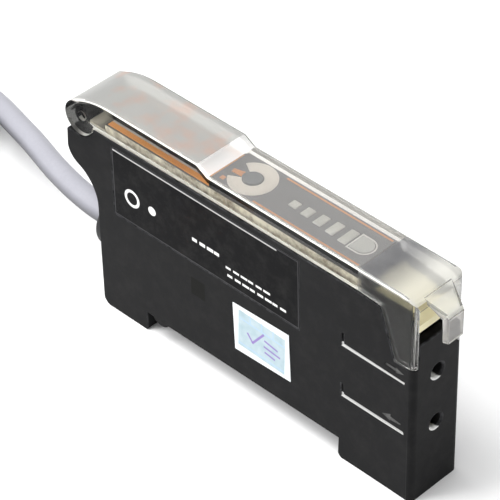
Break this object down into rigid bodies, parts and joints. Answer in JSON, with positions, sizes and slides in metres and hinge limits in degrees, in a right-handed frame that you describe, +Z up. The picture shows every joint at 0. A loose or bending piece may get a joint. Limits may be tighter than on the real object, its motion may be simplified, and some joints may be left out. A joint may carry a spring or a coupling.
{
  "type": "fibre optic sensor amplifier",
  "caption": "Slim rail-mounted fibre optic sensor amplifier with a clear hinged cover over a dial, level windows and switches, fibre holes in front and a grey cable behind.",
  "frame": {"origin": "centre of the base under the case, cable left out", "axes": "+X towards the fibre end, +Y across the case away from the labelled face, +Z up"},
  "size_m": [0.1618, 0.0576, 0.0384],
  "materials": {
    "case_black": "fine matte moulding",
    "cover_clear": "clear polished polycarbonate",
    "panel_grey": "dark blue-grey moulding",
    "label_orange": "orange printed film",
    "print_white": "white printed film",
    "knob_white": "white moulded nylon",
    "window_white": "translucent white light pipe",
    "switch_black": "black component housing",
    "trimmer_blue": "blue component housing",
    "board_green": "solder-masked board",
    "led_amber": "small amber indicator",
    "emitter_red": "red lens",
    "lever_cream": "cream moulding",
    "holder_ivory": "ivory moulding",
    "pin_steel": "bright pin",
    "boot_rubber": "black rubber",
    "plate_gloss": "glossy black inset",
    "sticker_paper": "white paper",
    "cable_grey": "lavender-grey PVC sheath",
    "wire_brown": "brown insulation",
    "wire_blue": "blue insulation",
    "wire_black": "black insulation",
    "strand_copper": "bare copper strands"
  },
  "bodies": {
    "housing": {"case": "case_black", "control_panel": "panel_grey", "control_label": "label_orange", "scale_ring": "print_white", "adjuster_body": "trimmer_blue", "timer_switch_body": "switch_black", "mode_switch_body": "switch_black", "level_windows": "window_white", "operation_window": "window_white", "level_leds": "led_amber", "circuit_board": "board_green", "amplifier_chip": "switch_black", "emitter_led": "emitter_red", "photodiode": "switch_black", "fibre_holder": "holder_ivory", "fibre_clamp": "holder_ivory", "lever_pin": "pin_steel", "cable_boot": "boot_rubber", "nameplate": "plate_gloss", "date_sticker": "sticker_paper", "cable": "cable_grey", "cable_coil": "cable_grey", "cable_tail": "cable_grey", "cable_tie": "switch_black", "brown_wire": "wire_brown", "blue_wire": "wire_blue", "black_wire": "wire_black", "wire_strands": "strand_copper"},
    "cover": {"cover": "cover_clear"},
    "lever": {"lock_lever": "lever_cream"},
    "pointer": {"dial_pointer": "label_orange"},
    "adjuster": {"adjuster_screw": "knob_white"},
    "timer_knob": {"timer_slider": "knob_white"},
    "mode_knob": {"mode_slider": "knob_white"}
  },
  "joints": [
    {"name": "cover_hinge", "type": "hinge", "parent": "housing", "child": "cover", "pos_m": [-0.0331, 0, 0.0337], "axis": [0, -1, 0], "range_deg": [0, 105]},
    {"name": "lever_pivot", "type": "hinge", "parent": "housing", "child": "lever", "pos_m": [0.0244, 0, 0.0314], "axis": [0, -1, 0], "range_deg": [0, 20]},
    {"name": "adjuster_turn", "type": "hinge", "parent": "housing", "child": "adjuster", "pos_m": [-0.01201, 0, 0.0346], "axis": [0, 0, 1], "range_deg": [0, 2880]},
    {"name": "pointer_turn", "type": "hinge", "parent": "housing", "child": "pointer", "pos_m": [-0.00219, 0, 0.0356], "axis": [0, 0, 1], "range_deg": [0, 300]},
    {"name": "timer_slide", "type": "slide", "parent": "housing", "child": "timer_knob", "axis": [0, 1, 0], "range_m": [0, 0.0016]},
    {"name": "mode_slide", "type": "slide", "parent": "housing", "child": "mode_knob", "axis": [0, 1, 0], "range_m": [0, 0.0016]}
  ],
  "couplings": [
    {"joint": "pointer_turn", "follows": "adjuster_turn", "ratio": 0.10416}
  ]
}
